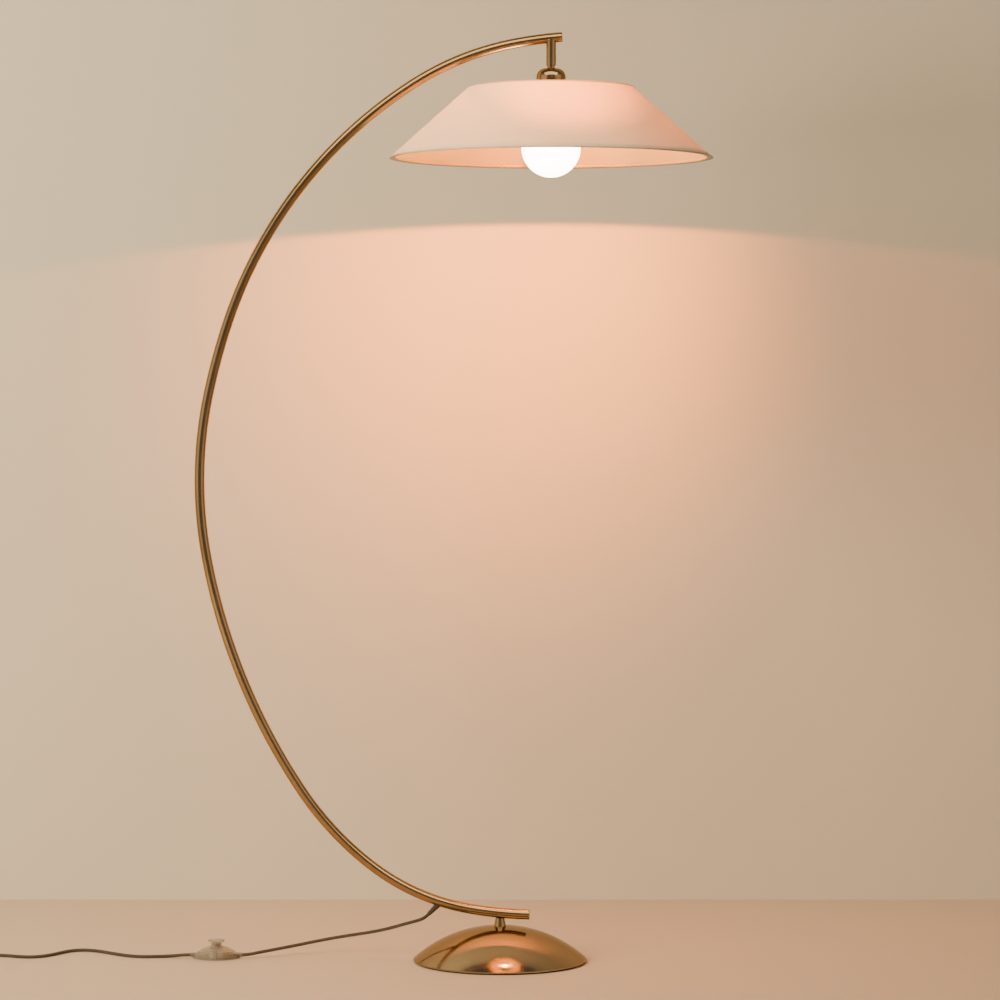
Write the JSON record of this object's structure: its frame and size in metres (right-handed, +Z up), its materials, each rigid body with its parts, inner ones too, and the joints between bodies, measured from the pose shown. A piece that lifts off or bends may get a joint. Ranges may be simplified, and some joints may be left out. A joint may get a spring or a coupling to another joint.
{
  "type": "arc floor lamp",
  "caption": "Floor lamp with an arm bent from round tube into a wide arc, a weighted domed base, a shallow conical fabric shade over a globe bulb, and a lead with a clear foot switch.",
  "frame": {"origin": "centre of the domed base, on the floor", "axes": "+Z up; the arm lies in the XZ plane with its belly towards -X and the shade over the +X side of the base; the lead runs off towards -X"},
  "size_m": [1.2763, 0.5216, 1.4971],
  "materials": {
    "brass": "polished, lightly brushed along the tube",
    "contact_brass": "dull",
    "steel": "zinc plated",
    "iron": "rough casting",
    "pad_rubber": "matt",
    "flex": "satin, brown PVC sheath",
    "ceramic": "unglazed",
    "plated_shell": "nickel plated",
    "black_plastic": "satin",
    "linen": "plain weave with uneven threads",
    "lining": "thin laminated sheet",
    "opal_glass": "opal, etched inside",
    "white_plastic": "matt",
    "clear_plastic": "clear, moulded"
  },
  "bodies": {
    "stand": {"base_pad": "pad_rubber", "base_cover": "brass", "base_weight": "iron", "base_spacer": "steel", "base_stud": "steel", "base_washer": "steel", "base_nut": "steel", "base_post": "brass", "lower_tube": "brass", "middle_tube": "brass", "upper_tube": "brass", "lower_sleeve": "steel", "upper_sleeve": "steel", "joint_screws": "contact_brass", "lower_end_cap": "brass", "upper_end_cap": "brass", "drop_rod": "brass", "strain_relief": "flex", "inner_lead": "flex", "neck_collar": "brass", "neck_nipple": "steel", "holder_lock_nut": "steel", "holder_cup": "brass", "holder_body": "ceramic", "terminal_blocks": "contact_brass", "terminal_screws": "steel", "core_wires": "contact_brass", "centre_contact": "contact_brass", "screw_shell": "plated_shell", "holder_skirt": "black_plastic", "switch_base": "clear_plastic", "switch_cover": "clear_plastic", "switch_spring": "steel", "switch_mechanism": "white_plastic", "switch_terminals": "contact_brass", "switch_wires": "contact_brass", "switch_glands": "clear_plastic", "switch_screws": "steel", "cord_to_switch": "flex", "cord_to_coil": "flex", "cord_coil": "flex", "cord_tie": "black_plastic", "cord_to_plug": "flex", "plug_body": "black_plastic", "plug_pins": "plated_shell"},
    "shade": {"shade_fabric": "linen", "shade_liner": "lining", "shade_top_wire": "steel", "shade_bottom_wire": "steel", "shade_spider": "steel", "shade_top_hem": "linen", "shade_bottom_hem": "linen"},
    "ring": {"shade_ring": "black_plastic"},
    "bulb": {"bulb_globe": "opal_glass", "bulb_cap": "plated_shell", "bulb_insulator": "black_plastic", "bulb_contact": "plated_shell", "bulb_light_engine": "white_plastic"},
    "button": {"switch_button": "clear_plastic"}
  },
  "joints": [
    {"name": "switch_press", "type": "slide", "parent": "stand", "child": "button", "axis": [0, 0, -1], "range_m": [0, 0.004], "stiffness_N_per_m": 600, "springref_m": -0.003, "deforming": ["switch_spring"]},
    {"name": "shade_swivel", "type": "hinge", "parent": "stand", "child": "shade", "pos_m": [0.082, 0, 1.39], "axis": [0, 0, 1], "continuous": true},
    {"name": "ring_turn", "type": "hinge", "parent": "stand", "child": "ring", "pos_m": [0.082, 0, 1.386], "axis": [0, 0, -1], "range_deg": [0, 360]},
    {"name": "bulb_turn", "type": "hinge", "parent": "stand", "child": "bulb", "pos_m": [0.082, 0, 1.312], "axis": [0, 0, -1], "range_deg": [0, 360]}
  ]
}
